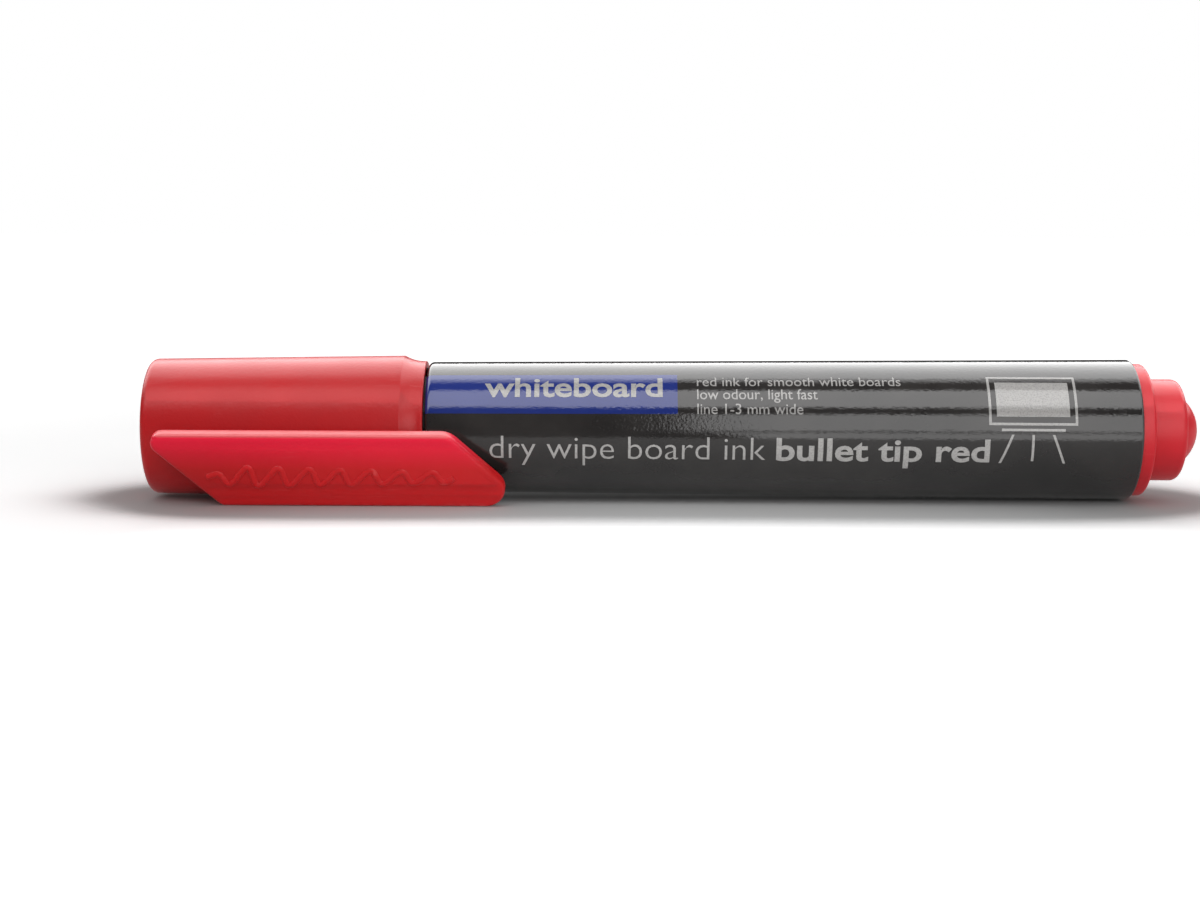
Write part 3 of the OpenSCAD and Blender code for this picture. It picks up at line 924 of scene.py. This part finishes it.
def makeWords(name, words, height, width, weight):
    # lettering, scaled to its height and width
    clearSelection()
    bpy.ops.object.text_add()
    text = bpy.context.object
    text.data.body = words
    text.data.size = 10
    text.data.offset = weight
    text.data.resolution_u = 4
    bpy.ops.object.convert(target="MESH")
    piece = bpy.context.object
    piece.name = name
    piece.data.name = name
    low = [min(v.co[k] for v in piece.data.vertices) for k in (0, 1)]
    high = [max(v.co[k] for v in piece.data.vertices) for k in (0, 1)]
    bpy.ops.object.mode_set(mode="EDIT")
    bpy.ops.mesh.select_all(action="SELECT")
    bpy.ops.transform.translate(value=(-low[0], 0, 0))
    bpy.ops.transform.resize(value=(width / (high[0] - low[0]), height / high[1], 1),
                             center_override=(0, 0, 0))
    bpy.ops.mesh.remove_doubles(threshold=1e-4)
    thicken()
    cutRows(piece, low[1] * height / high[1], height, ink["rowStep"])
    return piece


marks = [
    {"name": "panelWord", "words": "whiteboard", "x": 7.9, "angle": 33.5, "height": 3.0, "width": 22.8,
     "weight": 0.2},
    {"name": "titleLight", "words": "dry wipe board ink", "x": 8.6, "angle": -21, "height": 3.0,
     "width": 35.2, "weight": -0.1},
    {"name": "titleBold", "words": "bullet tip red", "x": 45.2, "angle": -21, "height": 3.0, "width": 27.2,
     "weight": 0.2},
    {"name": "noteOne", "words": "red ink for smooth white boards", "x": 35.1, "angle": 44, "height": 1.5,
     "width": 26.1, "weight": 0.02},
    {"name": "noteTwo", "words": "low odour, light fast", "x": 35.1, "angle": 31, "height": 1.5,
     "width": 15.4, "weight": 0.02},
    {"name": "noteThree", "words": "line 1-3 mm wide", "x": 35.1, "angle": 18, "height": 1.4,
     "width": 13.5, "weight": 0.02}]


def makeMarks():
    for mark in marks:
        piece = makeWords(mark["name"], mark["words"], mark["height"], mark["width"], mark["weight"])
        wrapRound(piece, mark["x"], mark["angle"], ink["proud"])
        smooth(piece, ink["smooth"])
        finished(piece, "pen", "label_film", looks["print"])


def flatBar(low, high, lean=0.0, rim=0.0):
    # a flat bar from its low to its high corner; lean shifts its top, and rim leaves only a frame
    middle = (low[1] + high[1]) / 2
    clearSelection()
    bpy.ops.mesh.primitive_plane_add(size=1)
    bar = bpy.context.object
    bpy.ops.object.mode_set(mode="EDIT")
    bpy.ops.mesh.select_all(action="SELECT")
    bpy.ops.transform.resize(value=(high[0] - low[0], high[1] - low[1], 1))
    bpy.ops.transform.translate(value=((low[0] + high[0]) / 2, middle, 0))
    if rim:
        bpy.ops.mesh.inset(thickness=rim)
        bpy.ops.mesh.delete(type="FACE")
    if lean:
        selectWhere(bar, "verts", lambda v: v.y * mm > middle)
        bpy.ops.transform.translate(value=(lean, 0, 0))
    bpy.ops.mesh.select_all(action="SELECT")
    thicken()
    return bar


boardMark = {"x": 72.2, "angle": -22, "width": 11.3, "legs": 4.1, "height": 12.0, "line": 0.32,
             "boardLift": 0.9, "screenLift": 2.0, "screenInset": 1.0, "trayLift": 0.15, "trayInset": 1.6,
             "legInset": 1.4, "legGap": 0.3, "legLean": 1.5}


def makeBoardMark():
    # a small drawing of a board on its stand
    wide, tall, legs, line = (boardMark[key] for key in ("width", "height", "legs", "line"))
    screen, tray, leg = (boardMark[key] for key in ("screenInset", "trayInset", "legInset"))
    gap, lean = (boardMark[key] for key in ("legGap", "legLean"))
    trayY = legs + boardMark["trayLift"]
    bars = [flatBar((0, legs + boardMark["boardLift"]), (wide, tall), rim=line),
            flatBar((screen, legs + boardMark["screenLift"]), (wide - screen, tall - screen)),
            flatBar((tray, trayY), (wide - tray, trayY + line)),
            flatBar((leg, 0), (leg + line, legs - gap), lean=lean),
            flatBar((wide / 2 - line / 2, gap), (wide / 2 + line / 2, legs - gap)),
            flatBar((wide - leg - line, 0), (wide - leg, legs - gap), lean=-lean)]
    piece = joined("boardMark", *bars)
    cutRows(piece, 0, tall, ink["rowStep"])
    wrapRound(piece, boardMark["x"], boardMark["angle"], ink["proud"])
    smooth(piece, ink["smooth"])
    finished(piece, "pen", "label_film", looks["print"])


seam = {"startX": 0.8, "endGap": 0.5, "half": 1.2, "rowStep": 0.4, "cutStep": 8, "angle": 205, "proud": 0.03}


def makeSeam():
    # where the film's two edges overlap, along the back
    half = seam["half"]
    piece = flatBar((seam["startX"], -half), (tailX - seam["endGap"], half))
    piece.name = "filmSeam"
    cutRows(piece, -half, half, seam["rowStep"])
    only(piece)
    bpy.ops.object.mode_set(mode="EDIT")
    for x in range(seam["cutStep"] // 2, int(tailX), seam["cutStep"]):
        bpy.ops.mesh.select_all(action="SELECT")
        bpy.ops.mesh.bisect(plane_co=(x, 0, 0), plane_no=(1, 0, 0))
    bpy.ops.object.mode_set(mode="OBJECT")
    wrapRound(piece, 0, seam["angle"], seam["proud"])
    smooth(piece, ink["smooth"])
    finished(piece, "pen", "label_film", looks["film"])


makeMarks()
makeBoardMark()
makeSeam()
print("markings made")


# floor, in metres
room = {"paper": (0.86, 0.86, 0.86), "paperShade": (0.83, 0.83, 0.83), "speckScale": 400.0,
        "speckDetail": 3.0, "speck": (0.4, 0.7), "rough": 0.9, "gloss": 0.1, "paperGain": 1.65,
        # painted shadow: how far, how finely and how dark the floor is painted darker near the marker
        "contactReach": 0.09, "contactSamples": 40, "contactDark": 0.285, "darkUpTo": 0.75,
        "clearFrom": 0.97, "fadeStart": 0.12, "fadeEnd": 0.28, "farWhite": 1.2, "sheetFrontY": -0.055,
        # painted reflections: how brightly the floor glows to glossy rays, in front and under the side panel
        "sheetGlow": 0.1, "sideGlowX": 0.012, "sideGlow": 2.6}


def makeFloor():
    clearSelection()
    bpy.ops.mesh.primitive_plane_add(size=4)
    floor = bpy.context.object
    floor.name = "floor"
    material, tree, shader = startMaterial("paleFloor")
    speck = cloudy(tree, objectSpot(tree), room["speckScale"], room["speckDetail"])
    colour = blendColours(tree, stretched(tree, speck, *room["speck"]), room["paper"], room["paperShade"])
    tree.links.new(colour, shader.inputs["Base Color"])
    shader.inputs["Roughness"].default_value = room["rough"]
    shader.inputs["Specular IOR Level"].default_value = room["gloss"]
    # seen directly the paper is brighter, darkened near the marker by a painted contact shadow taken from
    # ambient occlusion, and it fades into plain white far off
    near = addNode(tree, "AmbientOcclusion", {"samples": room["contactSamples"]},
                   Distance=room["contactReach"]).outputs["AO"]
    gain = stretched(tree, near, room["darkUpTo"], room["clearFrom"], room["contactDark"] * room["paperGain"],
                     room["paperGain"], "SMOOTHSTEP")
    grey = addNode(tree, "CombineColor", in0=gain, in1=gain, in2=gain).outputs[0]
    bright = addNode(tree, "BsdfDiffuse", Color=grey).outputs["BSDF"]
    white = addNode(tree, "Emission", Strength=room["farWhite"]).outputs["Emission"]
    spot = addNode(tree, "SeparateXYZ", Vector=objectSpot(tree))
    far = addNode(tree, "VectorMath", {"operation": "LENGTH"}, in0=objectSpot(tree)).outputs["Value"]
    paper = mixShaders(tree, stretched(tree, far, room["fadeStart"], room["fadeEnd"]), bright, white)
    path = addNode(tree, "LightPath")
    direct = mixShaders(tree, path.outputs["Is Camera Ray"], shader.outputs["BSDF"], paper)
    # painted reflection: in mirror-like surfaces the floor in front shows as a dim glow, a painted dark
    # reflection, apart from the stretch under the side panel, which glows as a painted reflection of that
    # panel
    front = maths(tree, "LESS_THAN", spot.outputs["Y"], room["sheetFrontY"])
    glossy = maths(tree, "MULTIPLY", path.outputs["Is Glossy Ray"], front)
    right = maths(tree, "GREATER_THAN", spot.outputs["X"], room["sideGlowX"])
    strength = maths(tree, "ADD", maths(tree, "MULTIPLY", right, room["sideGlow"]), room["sheetGlow"])
    paintedReflection = addNode(tree, "Emission", Strength=strength).outputs["Emission"]
    mixed = mixShaders(tree, glossy, direct, paintedReflection)
    tree.links.new(mixed, tree.nodes["Material Output"].inputs["Surface"])
    floor.data.materials.append(material)


# soft panels: towards is (degrees over the camera side, metres aside); sheen is how bright a panel is in
# reflections, and fill how much it lights
panels = {
    "top": {"towards": (127.5, 0), "distance": 1.0, "size": (3.0, 1.13), "sheen": 4.7, "fill": 2.5},
    "topSkirt": {"towards": (94.5, 0), "distance": 1.0, "size": (3.0, 0.12), "sheen": 2.2, "fill": 0},
    "front": {"towards": (57.5, 0), "distance": 0.9, "size": (2.6, 0.52), "sheen": 3.8, "fill": 4.3},
    "side": {"towards": (16, 0.21), "distance": 0.4, "size": (0.41, 0.20), "sheen": 3.0, "fill": 2.6}}
surroundings = {"seen": 0.95, "diffuse": 0.42, "always": 0.05}


def makePanel(name, towards, distance, size, sheen, fill):
    elevation = math.radians(towards[0])
    place = Vector((towards[1], -distance * math.cos(elevation), distance * math.sin(elevation)))
    for kind, strength in (("Sheen", sheen), ("Fill", fill)):
        if not strength:
            continue
        bpy.ops.object.light_add(type="AREA", location=place + Vector((0, 0, mouth.z)))
        light = bpy.context.object
        light.name = name + kind
        light.rotation_euler = Vector((0, place.y, place.z)).to_track_quat("Z", "Y").to_euler()
        light.data.shape = "RECTANGLE"
        light.data.size, light.data.size_y = size
        light.data.energy = strength * size[0] * size[1] * math.pi
        light.visible_camera = False
        light.visible_diffuse = kind == "Fill"
        light.visible_glossy = kind == "Sheen"


def makeLights():
    for name, panel in panels.items():
        makePanel(name + "Panel", **panel)
    world = bpy.data.worlds.new("studio")
    bpy.context.scene.world = world
    world.use_nodes = True
    tree = world.node_tree
    path = addNode(tree, "LightPath")
    plain = maths(tree, "ADD", maths(tree, "MULTIPLY", path.outputs["Is Camera Ray"], surroundings["seen"]),
                  maths(tree, "MULTIPLY", path.outputs["Is Diffuse Ray"], surroundings["diffuse"]))
    background = tree.nodes["Background"]
    background.inputs["Color"].default_value = (1, 1, 1, 1)
    tree.links.new(maths(tree, "ADD", plain, surroundings["always"]), background.inputs["Strength"])


# camera, placed in mm from the cap's mouth
view = {"aside": 22.715, "back": 264.36, "up": 29.48, "pitch": 7.0, "roll": 0.2409, "lens": 60.62,
        "sensor": 36, "nearest": 0.01}


def makeCamera():
    clearSelection()
    place = mouth + Vector((view["aside"], -view["back"], view["up"])) * mm
    bpy.ops.object.camera_add(location=place)
    camera = bpy.context.object
    tilt = Matrix.Rotation(math.radians(90 - view["pitch"]), 4, "X")
    roll = Matrix.Rotation(math.radians(view["roll"]), 4, "Z")
    camera.matrix_world = Matrix.Translation(place) @ tilt @ roll
    camera.data.lens = view["lens"]
    camera.data.sensor_width = view["sensor"]
    camera.data.clip_start = view["nearest"]
    bpy.context.scene.camera = camera


makeFloor()
makeLights()
makeCamera()
bpy.context.scene.view_settings.view_transform = "Standard"
print("stage ready")
